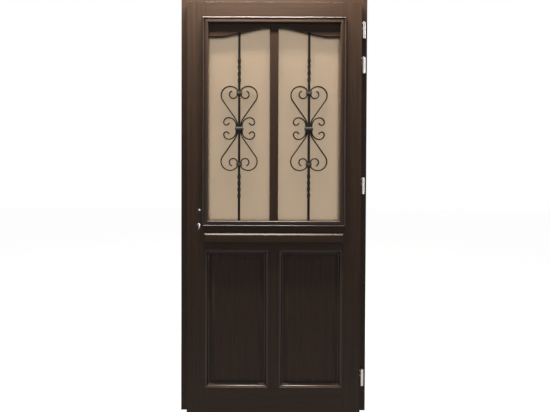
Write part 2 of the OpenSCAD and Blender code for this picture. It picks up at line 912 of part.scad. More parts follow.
module inner_pane() {
    color(clear_glass) wide_slab(glass_x, [bead_y - pane_t, glass_z0], [bead_y, glass_z1]);
}

module pane_spacer() {
    edge = 2;
    w = 7;
    y0 = glass_y + pane_t;
    y1 = y0 + pane_gap;
    color(alloy) union() {
        difference() {
            wide_slab(glass_x - edge, [y0, glass_z0 + edge], [y1, glass_z1 - edge]);
            wide_slab(glass_x - edge - w, [y0 - cut, glass_z0 + edge + w],
                [y1 + cut, glass_z1 - edge - w]);
        }
        wide_slab(glazing_bar_w / 2 - 9, [y0 + 2, glass_z0 + edge + w / 2],
            [y1 - 2, glass_z1 - edge - w / 2]);
    }
}

module setting_blocks() {
    color(rubber) for (side = [-1, 1])
        slab([side * stile_x / 2 - 50, glass_y, window_z0],
            [side * stile_x / 2 + 50, bead_y, glass_z0]);
}

// Drip ledge

// Section with x out from the rail and y up: sloped top, plain front, rebate and drip
module ledge_section() {
    nose = 6;
    foot = 5;
    difference() {
        polygon([[0, 0], [foot, 0], [foot, nose], [ledge_d, nose],
            [ledge_d, ledge_h - ledge_fall], [0, ledge_h]]);
        translate([ledge_d - 4, nose]) circle(1.5);
    }
}

module drip_ledge() {
    z = panel_z1 + ledge_up;
    w = ledge_w / 2;
    color(wood) intersection() {
        translate([0, face_y, z]) rotate([90, 0, -90])
            linear_extrude(ledge_w, center = true) ledge_section();
        translate([0, 0, z - cut]) linear_extrude(ledge_h + 2 * cut)
            polygon([[-w, face_y], [w, face_y], [w - ledge_splay, face_y - ledge_d],
                [ledge_splay - w, face_y - ledge_d]]);
    }
}

// Grilles

// Places along flat iron bent to a list of legs, as x, y and heading, which starts along
// +Y. A leg of one number is straight and that long. A leg of two is a bend of that
// radius and angle, positive to the left.
function stations(legs, i = 0, at = [0, 0, 0]) =
    i == len(legs) ? [] :
    let (n = len(legs[i]) == 1 ? 1 : ceil(abs(legs[i][1]) / bend_step),
        steps = [for (k = [1:n]) along_leg(at, legs[i], k / n)])
    concat(steps, stations(legs, i + 1, steps[n - 1]));

function along_leg(at, leg, part) =
    len(leg) == 1 ? [at[0] - leg[0] * part * sin(at[2]), at[1] + leg[0] * part * cos(at[2]), at[2]] :
    let (r = leg[0] * sign(leg[1]), h = at[2] + leg[1] * part)
    [at[0] + r * (cos(h) - cos(at[2])), at[1] + r * (sin(h) - sin(at[2])), h];

// One edge of the iron, at the given distance to the right of its middle
function iron_edge(places, off) =
    [for (p = places) [p[0] + off * cos(p[2]), p[1] + off * sin(p[2])]];

function backwards(points) = [for (i = [len(points) - 1:-1:0]) points[i]];

function upside_down(points) = [for (p = points) [p[0], -p[1]]];

// One scroll left of the bar, with equal halves above and below the centre collar
module one_scroll(x, legs) {
    places = stations(legs);
    near = iron_edge(places, scroll_t / 2);
    far = iron_edge(places, -scroll_t / 2);
    translate([-x, 0]) polygon(concat(near, backwards(far), upside_down(far),
        backwards(upside_down(near))));
}

// A pair of scrolls left and right of the bar
module scroll_pair(x, legs) {
    rotate([90, 0, 0]) linear_extrude(scroll_d, center = true) {
        one_scroll(x, legs);
        mirror([1, 0]) one_scroll(x, legs);
    }
}

// A collar round a bundle, h high, with a raised band where one is asked for
module collar(half_w, h, band) {
    w = half_w + bind_gap;
    d = max(iron_bar, scroll_d) / 2 + bind_gap;
    difference() {
        union() {
            slab([-w - collar_wall, -d - collar_wall, -h / 2], [w + collar_wall, d + collar_wall, h / 2]);
            if (band > 0)
                slab([-w - collar_wall - band, -d - collar_wall - band, -h / 4],
                    [w + collar_wall + band, d + collar_wall + band, h / 4]);
        }
        slab([-w, -d, -h], [w, d, h]);
    }
}

module at_grille(side) {
    translate([side * grille_x, grille_y, grille_z]) children();
}

// The upright bar: square, with one full turn of twist above and below the scrolls
module grille_bar(side) {
    w = iron_bar / 2;
    color(iron) union() {
        translate([side * grille_x, grille_y, 0]) {
            slab([-w, -w, bar_z0], [w, w, grille_z - twist_start - twist_l]);
            slab([-w, -w, grille_z - twist_start], [w, w, grille_z + twist_start]);
            slab([-w, -w, grille_z + twist_start + twist_l], [w, w, bar_z1]);
        }
        for (z = [-twist_start - twist_l, twist_start]) at_grille(side) translate([0, 0, z])
            linear_extrude(twist_l, twist = 360, slices = 48, $fn = 4)
                square(iron_bar, center = true);
    }
}

module grille_scrolls(side) {
    color(iron) at_grille(side) scroll_pair(main_x, MAIN_LEGS);
}

module grille_side_scrolls(side) {
    color(iron) at_grille(side) scroll_pair(side_x, SIDE_LEGS);
}

module grille_collars(side) {
    color(iron) at_grille(side) {
        collar(side_x + scroll_t / 2, centre_collar_h, collar_band);
        for (z = [-small_collar_z, small_collar_z])
            translate([0, 0, z]) collar(main_x + scroll_t / 2, small_collar_h, 0);
    }
}

// Lock

// A euro-profile keyhole through everything between two planes
module keyhole(y0, y1) {
    w = key_slot_w / 2;
    rod_y(lock_x, key_z, key_r, y0, y1);
    slab([lock_x - w, y0, key_z + key_r - key_h + w], [lock_x + w, y1, key_z]);
    rod_y(lock_x, key_z + key_r - key_h + w, w, y0, y1);
}

module lock_case() {
    color(steel) difference() {
        union() {
            slab([case_x0, inner_y1, case_z0], [case_x1, case_y1, case_z1]);
            slab([case_x1 - sheet_t, inner_y0, case_z0], [case_x1, case_y1, case_z1]);
            for (z = [case_z0, case_z1 - sheet_t])
                slab([case_x0, inner_y0, z], [case_x1, case_y1, z + sheet_t]);
            rod_y(lock_x - guide_x, dead_z, guide_r, inner_y0, inner_y1);
        }
        rod_y(lock_x, lock_z, hub_r, inner_y0, case_y1 + cut);
        keyhole(inner_y0, case_y1 + cut);
    }
}

module lock_cover() {
    color(steel) difference() {
        slab([case_x0, case_y0, case_z0], [case_x1, inner_y0, case_z1]);
        rod_y(lock_x, lock_z, hub_r, case_y0 - cut, inner_y0 + cut);
        keyhole(case_y0 - cut, inner_y0 + cut);
    }
}

// The window in the faceplate that a bolt slides through
module bolt_window(z, h) {
    w = bolt_t / 2 + slide_gap;
    slab([-body_x - cut, lock_y - w, z - h / 2 - slide_gap],
        [-body_x + plate_t + cut, lock_y + w, z + h / 2 + slide_gap]);
}

module lock_faceplate() {
    color(nickel) difference() {
        slab([-body_x, lock_y - plate_w / 2, plate_z0], [-body_x + plate_t, lock_y + plate_w / 2, plate_z1]);
        bolt_window(latch_z, latch_h);
        bolt_window(dead_z, dead_h);
        for (z = [plate_z0 + 12, plate_z1 - 12]) screw_seat(-body_x, z, 1);
    }
}

module faceplate_screws() {
    color(nickel) for (z = [plate_z0 + 12, plate_z1 - 12]) wood_screw(-body_x, z, 1);
}

// The latch bolt, drawn back, with its bevel towards the inside and a hook on its tail
module latch_bolt() {
    t = bolt_t / 2;
    z1 = latch_z + latch_h / 2;
    head_back = -body_x + 16;
    color(nickel) difference() {
        union() {
            slab([-body_x, lock_y - t, latch_z - latch_h / 2], [head_back, lock_y + t, z1]);
            slab([head_back, lock_y - 4, z1 - tail_h], [lock_x + hook_x + hook_t, lock_y + 4, z1]);
            slab([lock_x + hook_x, lock_y - 4, lock_z + 14], [lock_x + hook_x + hook_t, lock_y + 4, z1]);
        }
        translate([-body_x, lock_y + t, latch_z - latch_h / 2 - cut]) linear_extrude(latch_h + 2 * cut)
            polygon([[-cut, cut], [-cut, 3 - bolt_t - cut], [bolt_t - 3, cut - cut], [bolt_t - 3, cut]]);
    }
}

// The dead bolt, drawn back, with its guide slot and the notch for the key's cam
module dead_bolt() {
    t = bolt_t / 2;
    slot = guide_r + slide_gap;
    x = lock_x - guide_x;
    color(nickel) difference() {
        slab([-body_x, lock_y - t, dead_z - dead_h / 2], [lock_x + 16, lock_y + t, dead_z + dead_h / 2]);
        slab([x, lock_y - bolt_t, dead_z - slot], [x + dead_throw, lock_y + bolt_t, dead_z + slot]);
        for (dx = [0, dead_throw]) rod_y(x + dx, dead_z, slot, lock_y - bolt_t, lock_y + bolt_t);
        slab([lock_x - 8, lock_y - bolt_t, dead_z - dead_h / 2 - cut],
            [lock_x + 4, lock_y + bolt_t, dead_z - dead_h / 2 + 5]);
    }
}

// The follower, turned as far as the handle takes it
module follower() {
    disc_t = (inner_y1 - inner_y0) / 2 - slide_gap;
    color(steel) translate([lock_x, lock_y, lock_z]) rotate([0, follower_turn, 0]) difference() {
        union() {
            rod_y(0, 0, hub_r - pin_fit, -case_t / 2, case_t / 2);
            rod_y(0, 0, hub_r + 2.5, -disc_t, disc_t);
            slab([-arm_w / 2, -4, 0], [arm_w / 2, 4, arm_r]);
            rod_y(0, arm_r, arm_w / 2, -4, 4);
        }
        slab([-spindle_sq / 2, -case_t, -spindle_sq / 2], [spindle_sq / 2, case_t, spindle_sq / 2]);
    }
}

jamb_lock_side();
jamb_hinge_side();
frame_head();
threshold();
frame_seal();
strike_plate();
strike_screws();
frame_knuckle(HINGE_Z[0]);  // frame_knuckle_1
frame_knuckle(HINGE_Z[1]);  // frame_knuckle_2
frame_knuckle(HINGE_Z[2]);  // frame_knuckle_3
frame_knuckle(HINGE_Z[3]);  // frame_knuckle_4
hinge_pins();
hinge_washers();
stile_lock_side();
stile_hinge_side();
top_rail();
lock_rail();
bottom_rail();
centre_post();
panel(-1);  // left_panel
panel(1);  // right_panel
panel_moulding(-1);  // left_panel_moulding
panel_moulding(1);  // right_panel_moulding
panel_beads(-1);  // left_panel_beads
panel_beads(1);  // right_panel_beads
color(wood) window_moulding(2);  // window_moulding_top
window_moulding_bottom();
color(wood) window_moulding(3);  // window_moulding_left
color(wood) window_moulding(1);  // window_moulding_right
glazing_beads();
arch_board_outside();
arch_board_inside();
glazing_bar_outside();
glazing_bar_inside();
outer_pane();
inner_pane();
pane_spacer();
setting_blocks();
drip_ledge();
grille_bar(-1);  // left_grille_bar
grille_scrolls(-1);  // left_grille_scrolls
grille_side_scrolls(-1);  // left_grille_side_scrolls
grille_collars(-1);  // left_grille_collars
grille_bar(1);  // right_grille_bar
grille_scrolls(1);  // right_grille_scrolls
grille_side_scrolls(1);  // right_grille_side_scrolls
grille_collars(1);  // right_grille_collars
lock_case();
lock_cover();
lock_faceplate();
faceplate_screws();
leaf_knuckle(HINGE_Z[0]);  // leaf_knuckle_1
leaf_knuckle(HINGE_Z[1]);  // leaf_knuckle_2
leaf_knuckle(HINGE_Z[2]);  // leaf_knuckle_3
leaf_knuckle(HINGE_Z[3]);  // leaf_knuckle_4
latch_bolt();
dead_bolt();
follower();
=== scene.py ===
# %% [markdown]
# A dark-stained front door in its frame, with an arched window behind two wrought-iron
# grilles, a drip ledge and two raised panels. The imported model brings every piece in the
# right place, in metres: X runs to the right, Y into the building, Z up. This lesson
# gives those pieces soft edges, a finer moulding round the window and their finishes, and
# sets up the floor, the lamps and the camera. We start by loading the model and noting
# the box that it fills.

# %% Load the model
import math

import bmesh
import bpy
from mathutils import Matrix, Vector


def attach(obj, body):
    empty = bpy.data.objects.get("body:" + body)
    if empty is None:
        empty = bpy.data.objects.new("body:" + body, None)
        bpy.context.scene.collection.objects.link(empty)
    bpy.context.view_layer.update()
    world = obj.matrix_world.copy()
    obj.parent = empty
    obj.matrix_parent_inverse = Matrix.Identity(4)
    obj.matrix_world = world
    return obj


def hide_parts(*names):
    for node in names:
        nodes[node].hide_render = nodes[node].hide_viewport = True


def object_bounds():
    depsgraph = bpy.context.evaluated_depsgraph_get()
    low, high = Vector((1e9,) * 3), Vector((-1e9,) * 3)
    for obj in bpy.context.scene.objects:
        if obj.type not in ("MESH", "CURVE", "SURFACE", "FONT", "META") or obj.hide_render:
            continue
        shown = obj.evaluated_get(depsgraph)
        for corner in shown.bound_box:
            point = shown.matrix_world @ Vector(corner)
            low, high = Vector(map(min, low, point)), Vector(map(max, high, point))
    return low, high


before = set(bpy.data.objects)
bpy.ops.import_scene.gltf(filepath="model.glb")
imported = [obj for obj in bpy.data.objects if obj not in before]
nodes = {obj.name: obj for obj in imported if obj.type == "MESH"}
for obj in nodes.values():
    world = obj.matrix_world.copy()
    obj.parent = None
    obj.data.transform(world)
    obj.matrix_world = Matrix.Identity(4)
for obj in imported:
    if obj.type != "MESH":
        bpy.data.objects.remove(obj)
cad_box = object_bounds()
print(len(nodes), "pieces, box", cad_box)

MM = 0.001


# %% [markdown]
# On the real door no edge is knife sharp: the joiner breaks each arris with sandpaper
# before staining, and the bar and strip of the grille come from the mill with rounded
# corners. A sharp edge catches no light and looks like paper. We could bevel each edge by
# hand, but the Bevel modifier finds them by angle. A model's mesh may not be changed, so
# the rounding goes on a copy with its corners welded together, and the copy stands in
# for the original.

# %% A copy with soft edges
WELD = 0.002 * MM
FLAT_WITHIN = 0.5
EDGE_ANGLE = 30


def welded_copy(node):
    """A piece's mesh with its corners welded and its flat faces made whole."""
    mesh = nodes[node].data.copy()
    piece = bpy.data.objects.new(node + "_dressed", mesh)
    bpy.context.scene.collection.objects.link(piece)
    bm = bmesh.new()
    bm.from_mesh(mesh)
    bmesh.ops.remove_doubles(bm, verts=bm.verts, dist=WELD)
    bmesh.ops.dissolve_limit(bm, angle_limit=math.radians(FLAT_WITHIN),
                             verts=bm.verts, edges=bm.edges)
    bm.to_mesh(mesh)
    bm.free()
    return piece


def smooth_below(piece, angle):
    """Shades a piece smooth, apart from edges sharper than the angle in degrees."""
    for face in piece.data.polygons:
        face.use_smooth = True
    piece.data.set_sharp_from_angle(angle=math.radians(angle))


def soften(node, body, width, segments=2, angle=EDGE_ANGLE):
    """Stands a copy with rounded edges in for a piece of the model."""
    piece = welded_copy(node)
    smooth_below(piece, angle)
    bevel = piece.modifiers.new("soft_edges", "BEVEL")
    bevel.width = width
    bevel.segments = segments
    bevel.limit_method = "ANGLE"
    bevel.angle_limit = math.radians(angle)
    bevel.harden_normals = True
    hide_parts(node)
    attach(piece, body)
    return piece


dressed = {}
print("corners closer than", WELD, "m are welded")

# %% [markdown]
# The frame and the leaf are made of straight members. Their edges get a small round of
# less than a millimetre, so that a fine line shows where two members meet, as it does on
# a real joint once the stain has dried in it.

# %% Members of the frame and of the leaf
FRAME_ROUND = 0.9 * MM
LEAF_ROUND = 0.8 * MM
FRAME_WOOD = ["jamb_lock_side", "jamb_hinge_side", "frame_head"]
LEAF_WOOD = ["stile_lock_side", "stile_hinge_side", "top_rail", "lock_rail",
             "bottom_rail", "centre_post"]
for node in FRAME_WOOD:
    dressed[node] = soften(node, "frame", FRAME_ROUND)
for node in LEAF_WOOD:
    dressed[node] = soften(node, "leaf", LEAF_ROUND)
print("members softened:", len(FRAME_WOOD) + len(LEAF_WOOD))

# %% [markdown]
# Panels, mouldings, beads, arch boards and the drip ledge are thinner stock, run through
# a moulder. Their profiles are in the model already, and only their arrises are broken.

# %% Panels, mouldings and ledge
TRIM_ROUND = 0.5 * MM
FINE_WOOD = ["left_panel", "right_panel", "left_panel_moulding", "right_panel_moulding",
             "left_panel_beads", "right_panel_beads", "window_moulding_top",
             "window_moulding_bottom", "window_moulding_left", "window_moulding_right",
             "glazing_beads", "arch_board_outside", "arch_board_inside",
             "glazing_bar_outside", "glazing_bar_inside", "drip_ledge"]
for node in FINE_WOOD:
    dressed[node] = soften(node, "leaf", TRIM_ROUND)
print("mouldings softened:", len(FINE_WOOD))

# %% [markdown]
# Round the window runs a moulding with a bead on its outer edge, a sunk line beside the
# bead, and a broad band that rises towards the glass and drops steeply at its edge. From
# two metres away it reads as a dark stroke between two bright ones. The solid has the
# same parts, with a narrow sunk line and an even round. A boolean could cut the profile
# again, but moving its corners is simpler. Each corner goes inwards by the same step
# across the moulding and along it, which keeps the mitres shut. All lengths of the
# profile are pairs in millimetres, before and after: widths from the outer edge, and
# heights over the leaf's face. The bead and the band end at a width of their own, and a
# corner that lies flush with the face stays where it is.

# %% The profile round the window
FACE = -66 * MM
WINDOW_WIDTHS = [(0.0, 0.0), (4.5, 7.0), (9.0, 13.2), (16.0, 24.4), (28.0, 28.0)]
BEAD_PROUD = [(2.6, 2.6), (6.3, 8.8)]
BAND_PROUD = [(6.9, 6.2), (9.0, 7.6)]
DROP_PROUD = [(1.0, 1.0), (9.0, 7.6)]
BEAD_END = 4.6
BAND_END = 15.9
FLUSH = 0.4


def follow(steps, value):
    """A value moved along straight steps, each a pair of old and new places."""
    for (low, low_new), (high, high_new) in zip(steps, steps[1:]):
        if low <= value <= high:
            return low_new + (high_new - low_new) * (value - low) / (high - low)
    return value


def window_corner(width, proud):
    """Where a corner of the window's profile goes, in mm from its edge and the face."""
    if proud < FLUSH:
        return width, proud
    heights = DROP_PROUD
    if width < BEAD_END:
        heights = BEAD_PROUD
    elif width < BAND_END:
        heights = BAND_PROUD
    return follow(WINDOW_WIDTHS, width), follow(heights, proud)


def move_profile(piece, center, half, new_corner):
    """Moves the corners of mitred strips round an opening of two half sizes."""
    moved = 0
    for p in (v.co for v in piece.data.vertices):
        away = ((p.x - center[0]) / MM, (p.z - center[1]) / MM)
        width = min(half[0] - abs(away[0]), half[1] - abs(away[1]))
        proud = (FACE - p.y) / MM
        new_width, new_proud = new_corner(width, proud)
        step = (new_width - width) * MM
        if abs(step) + abs(new_proud - proud) > 0.0:
            moved += 1
        p.y = FACE - new_proud * MM
        p.x -= math.copysign(step, away[0])
        p.z -= math.copysign(step, away[1])
    normals = piece.data.attributes.get("custom_normal")
    if normals:
        piece.data.attributes.remove(normals)
    smooth_below(piece, EDGE_ANGLE)
    return moved


def middle_and_half(pieces):
    """The middle of some pieces in X and Z, and half their reach there in mm."""
    points = [v.co for piece in pieces for v in piece.data.vertices]
    low = [min(p[k] for p in points) for k in (0, 2)]
    high = [max(p[k] for p in points) for k in (0, 2)]
    center = [(a + b) / 2 for a, b in zip(low, high)]
    return center, [(b - a) / 2 / MM for a, b in zip(low, high)]


WINDOW_TRIM = ["window_moulding_" + side for side in ("top", "bottom", "left", "right")]
center, half = middle_and_half([dressed[node] for node in WINDOW_TRIM])
for node in WINDOW_TRIM:
    moved = move_profile(dressed[node], center, half, window_corner)
    print(node, "corners moved:", moved)

# %% [markdown]
# The grilles are forged: a square bar twisted hot, and flat strip bent round a former
# into scrolls, bound with collars. Hot iron keeps no sharp corner, so the rounding is
# larger here. The twisted bar is bevelled only along its four long edges.

# %% Ironwork
IRON_ROUND = 1.0 * MM
IRON_EDGE_ANGLE = 40
IRON = [side + "_grille_" + part for side in ("left", "right")
        for part in ("bar", "scrolls", "side_scrolls", "collars")]
for node in IRON:
    dressed[node] = soften(node, "leaf", IRON_ROUND, angle=IRON_EDGE_ANGLE)
print("iron pieces softened:", len(IRON))

# %% [markdown]
# Stain darkens the wood but lets the grain show: long streaks that follow each board,
# with fine dark pores between them. A photograph of wood would do, but a noise stretched
# along the board gives the same look at any size and bakes well. Upright boards and
# lying boards need the streaks along different axes, so the finish is built by a
# function that is told the direction of the grain.

# %% Helpers for finishes
def finish(name, color, roughness, metallic=0.0):
    """A material with its plain values set on the shader itself."""
    material = bpy.data.materials.new(name)
    material.use_nodes = True
    shader = material.node_tree.nodes["Principled BSDF"]
    shader.inputs["Base Color"].default_value = (*color, 1.0)
    shader.inputs["Roughness"].default_value = roughness
    shader.inputs["Metallic"].default_value = metallic
    return material, material.node_tree, shader


def stretched_noise(tree, stretch, detail, roughness=0.55):
    """Noise on Object coordinates, stretched by its scale along X, Y and Z."""
    place = tree.nodes.new("ShaderNodeTexCoord")
    scale = tree.nodes.new("ShaderNodeMapping")
    scale.inputs["Scale"].default_value = stretch
    noise = tree.nodes.new("ShaderNodeTexNoise")
    noise.inputs["Scale"].default_value = 1.0
    noise.inputs["Detail"].default_value = detail
    noise.inputs["Roughness"].default_value = roughness
    tree.links.new(place.outputs["Object"], scale.inputs["Vector"])
    tree.links.new(scale.outputs["Vector"], noise.inputs["Vector"])
    return noise


def ramp_between(tree, source, low, high, start, end):
    """Turns a grey pattern into a blend of two colours."""
    ramp = tree.nodes.new("ShaderNodeValToRGB")
    ramp.color_ramp.elements[0].position = start
    ramp.color_ramp.elements[0].color = (*low, 1.0)
    ramp.color_ramp.elements[1].position = end
    ramp.color_ramp.elements[1].color = (*high, 1.0)
    tree.links.new(source.outputs["Fac"], ramp.inputs["Fac"])
    return ramp


def relief(tree, shader, source, height, strength):
    """Lets a pattern raise the surface by a small height in metres."""
    bump = tree.nodes.new("ShaderNodeBump")
    bump.inputs["Distance"].default_value = height
    bump.inputs["Strength"].default_value = strength
    tree.links.new(source.outputs["Fac"], bump.inputs["Height"])
    tree.links.new(bump.outputs["Normal"], shader.inputs["Normal"])


def wear(piece, material):
    """Gives a piece one finish all over."""
    piece.data.materials.clear()
    piece.data.materials.append(material)


# %% [markdown]
# The stain has a deep tone and a light one, and the streaks blend them. The pores darken
# both and are a little duller than the coat round them. Streaks and pores are given as a
# number to the metre, across the grain and along it. The mouldings come smooth from the
# moulder, so their coat shines more than the sanded boards do.

# %% Dark stained wood
STAIN_DEEP = (0.0190, 0.0108, 0.0068)
STAIN_LIGHT = (0.0290, 0.0163, 0.0102)
PORE_DARK = (0.62, 0.58, 0.55)
PORE_CLEAR = (1.0, 1.0, 1.0)
BOARD_SHINE = 0.12
BOARD_ROUGH = (0.34, 0.50)
TRIM_SHINE = 0.22
TRIM_ROUGH = (0.26, 0.34)
STREAKS = (70.0, 1.6)
PORES = (520.0, 11.0)
PORE_DEPTH = 0.35 * MM


def along_grain(grain, across, along):
    """Scales of a noise that runs along the axis grain (0, 1 or 2), per metre."""
    stretch = [across, across, across]
    stretch[grain] = along
    return stretch


def stained_wood(name, grain, shine_level, rough):
    """Satin dark stain, with its streaks along the axis grain (0, 1 or 2)."""
    material, tree, shader = finish(name, STAIN_LIGHT, rough[1])
    shader.inputs["Specular IOR Level"].default_value = shine_level
    streaks = stretched_noise(tree, along_grain(grain, *STREAKS), 5.0)
    pores = stretched_noise(tree, along_grain(grain, *PORES), 3.0, 0.7)
    tone = ramp_between(tree, streaks, STAIN_DEEP, STAIN_LIGHT, 0.32, 0.70)
    pits = ramp_between(tree, pores, PORE_DARK, PORE_CLEAR, 0.36, 0.52)
    both = tree.nodes.new("ShaderNodeMix")
    both.data_type = "RGBA"
    both.blend_type = "MULTIPLY"
    both.inputs["Factor"].default_value = 1.0
    first, second = (socket for socket in both.inputs if socket.type == "RGBA")
    product = next(socket for socket in both.outputs if socket.type == "RGBA")
    tree.links.new(tone.outputs["Color"], first)
    tree.links.new(pits.outputs["Color"], second)
    tree.links.new(product, shader.inputs["Base Color"])
    shine = tree.nodes.new("ShaderNodeMapRange")
    shine.inputs["To Min"].default_value = rough[1]
    shine.inputs["To Max"].default_value = rough[0]
    tree.links.new(pores.outputs["Fac"], shine.inputs["Value"])
    tree.links.new(shine.outputs["Result"], shader.inputs["Roughness"])
    relief(tree, shader, pores, PORE_DEPTH, 0.5)
    return material


upright = stained_wood("dark_wood_upright", 2, BOARD_SHINE, BOARD_ROUGH)
lying = stained_wood("dark_wood_lying", 0, BOARD_SHINE, BOARD_ROUGH)
moulded_upright = stained_wood("moulded_wood_upright", 2, TRIM_SHINE, TRIM_ROUGH)
moulded_lying = stained_wood("moulded_wood_lying", 0, TRIM_SHINE, TRIM_ROUGH)
print("wood finishes:", upright.name, lying.name, moulded_upright.name,
      moulded_lying.name)

# %% [markdown]
# Rails, arch boards, the ledge and the frame's head lie across the door, so their grain
# does too. Every other piece has upright grain, also the strips round the panels, which
# are too slim to show the difference.

# %% Wood on each piece
LYING = ["frame_head", "top_rail", "lock_rail", "bottom_rail", "window_moulding_top",
         "window_moulding_bottom", "arch_board_outside", "arch_board_inside",
         "drip_ledge"]
for node in FRAME_WOOD + LEAF_WOOD + FINE_WOOD:
    smooth = "moulding" in node
    if node in LYING:
        wear(dressed[node], moulded_lying if smooth else lying)
    else:
        wear(dressed[node], moulded_upright if smooth else upright)
print("wooden pieces finished:", len(FRAME_WOOD + LEAF_WOOD + FINE_WOOD))

# %% [markdown]
# Forged iron is painted in satin black. The hammer leaves shallow dents, which show as a
# soft unevenness in the shine and not as a pattern of colour. The collars have a dull
# grey, lighter than the bars.

# %% Painted iron
PAINT_BLACK = (0.0060, 0.0045, 0.0034)
# The collars' grey is lighter than the bars' black.
COLLAR_GREY = (0.034, 0.031, 0.028)


def forged(name, color, roughness, shine_level, dents_per_metre, dent_depth):
    """Painted iron with the shallow dents of a hammer."""
    material, tree, shader = finish(name, color, roughness)
    shader.inputs["Specular IOR Level"].default_value = shine_level
    dents = stretched_noise(tree, [dents_per_metre] * 3, 2.0)
    relief(tree, shader, dents, dent_depth, 0.5)
    return material


iron_paint = forged("painted_iron", PAINT_BLACK, 0.26, 0.14, 160.0, 0.6 * MM)
collar_paint = forged("grey_collar_iron", COLLAR_GREY, 0.50, 0.16, 300.0, 0.4 * MM)
for node in IRON:
    wear(dressed[node], collar_paint if node.endswith("collars") else iron_paint)
print("iron pieces painted:", len(IRON))

# %% [markdown]
# The hinges and the lock's face are satin nickel, the lock's inside is zinc-plated
# steel, the threshold is natural aluminium with lines from the press, and the seal is
# black rubber. The follower sits deep in its hole, and its steel is darkened as painted
# shade for that depth.

# %% Metals and rubber
NICKEL_TONE = (0.40, 0.375, 0.355)
STEEL_TONE = (0.62, 0.63, 0.65)
# The follower's dark tone is painted shade for the depth of its hole.
FOLLOWER_SHADE_TONE = (0.16, 0.155, 0.15)
ALUMINIUM_TONE = (0.80, 0.79, 0.77)
RUBBER_TONE = (0.012, 0.012, 0.012)
METAL_ROUND = 0.25 * MM
THRESHOLD_ROUND = 0.4 * MM
PRESS_LINES = (2.0, 900.0, 900.0)
LINE_DEPTH = 0.05 * MM

nickel = finish("satin_nickel", NICKEL_TONE, 0.30, metallic=1.0)[0]
steel = finish("plated_steel", STEEL_TONE, 0.34, metallic=1.0)[0]
# Painted shade: the follower's steel is darkened for the deep hole it sits in.
follower_in_shade = finish("follower_steel_painted_shade", FOLLOWER_SHADE_TONE, 0.42, metallic=1.0)[0]
aluminium, tree, shader = finish("pressed_aluminium", ALUMINIUM_TONE, 0.36, metallic=1.0)
relief(tree, shader, stretched_noise(tree, PRESS_LINES, 2.0), LINE_DEPTH, 0.4)
rubber = finish("seal_rubber", RUBBER_TONE, 0.75)[0]

FRAME_KNUCKLES = ["frame_knuckle_%d" % k for k in range(1, 5)]
LEAF_KNUCKLES = ["leaf_knuckle_%d" % k for k in range(1, 5)]
NICKEL = FRAME_KNUCKLES + LEAF_KNUCKLES
NICKEL += ["strike_plate", "lock_faceplate", "latch_bolt", "dead_bolt"]
BODY_OF = {node: "frame" for node in FRAME_KNUCKLES + ["strike_plate"]}
BODY_OF.update(latch_bolt="latch", dead_bolt="dead_bolt", follower="follower")
METALS = [(nickel, NICKEL), (steel, ["lock_case", "lock_cover"]), (follower_in_shade, ["follower"])]
for metal, group in METALS:
    for node in group:
        dressed[node] = soften(node, BODY_OF.get(node, "leaf"), METAL_ROUND)
        wear(dressed[node], metal)
for node in ("hinge_pins", "hinge_washers"):
    wear(nodes[node], steel)
for node in ("strike_screws", "faceplate_screws"):
    wear(nodes[node], nickel)
for node in ("frame_seal", "setting_blocks"):
    wear(nodes[node], rubber)
dressed["threshold"] = soften("threshold", "frame", THRESHOLD_ROUND)
wear(dressed["threshold"], aluminium)
wear(nodes["pane_spacer"], aluminium)
print("metal pieces softened:", sum(len(group) for metal, group in METALS) + 1)

# %% [markdown]
# The window lets light through but no view: its outer pane has a fine satin surface of a
# warm tone. Full glass with a rough surface would take on the colour of anything behind
# it, so the pane is part cloudy body and part rough glass. A thin clear coat brings
# back the shine of a flat pane.

# %% Glass
GLASS_IOR = 1.45
SATIN_TONE = (0.47, 0.345, 0.230)
CLEAR_TONE = (0.95, 0.97, 0.96)


def glass(name, color, roughness, clearness):
    """Glass that lets a share of the light through, and its shader."""
    material, tree, shader = finish(name, color, roughness)
    shader.inputs["Transmission Weight"].default_value = clearness
    shader.inputs["IOR"].default_value = GLASS_IOR
    return material, shader


satin, shader = glass("satin_glass", SATIN_TONE, 0.45, 0.95)
shader.inputs["Coat Weight"].default_value = 0.6
shader.inputs["Coat Roughness"].default_value = 0.06
clear, shader = glass("clear_glass", CLEAR_TONE, 0.02, 1.0)
wear(nodes["outer_pane"], satin)
wear(nodes["inner_pane"], clear)
print("panes:", satin.name, clear.name)

# %% [markdown]
# The door stands on a plain pale floor in front of a white backdrop. Both are as pale as
# that only where the camera, the metal and the glass look, and the light that they throw
# on the door is softer, so that the dark stain keeps its depth. A mask of light path
# nodes tells the two apart. The floor's own tone is a grey that takes the door's shadow,
# and a glow behind the mask makes it pale.

# %% Floor
FLOOR_REACH = 12.0
FLOOR_TONE = (0.13, 0.129, 0.127)
FLOOR_ROUGHNESS = 0.8
FLOOR_GLOW = 0.88


def seen_mask(tree):
    """One where the camera, shiny metal or glass looks, nought for soft light."""
    path = tree.nodes.new("ShaderNodeLightPath")
    mask = path.outputs["Is Camera Ray"]
    for ray in ("Is Glossy Ray", "Is Transmission Ray"):
        larger = tree.nodes.new("ShaderNodeMath")
        larger.operation = "MAXIMUM"
        tree.links.new(mask, larger.inputs[0])
        tree.links.new(path.outputs[ray], larger.inputs[1])
        mask = larger.outputs[0]
    return mask


def level_plane(name, low, high, height):
    """A level oblong plane between two corners in X and Y."""
    corners = [low, (high[0], low[1]), high, (low[0], high[1])]
    bm = bmesh.new()
    bm.faces.new([bm.verts.new((x, y, height)) for x, y in corners])
    mesh = bpy.data.meshes.new(name)
    bm.to_mesh(mesh)
    bm.free()
    plane = bpy.data.objects.new(name, mesh)
    bpy.context.scene.collection.objects.link(plane)
    return plane


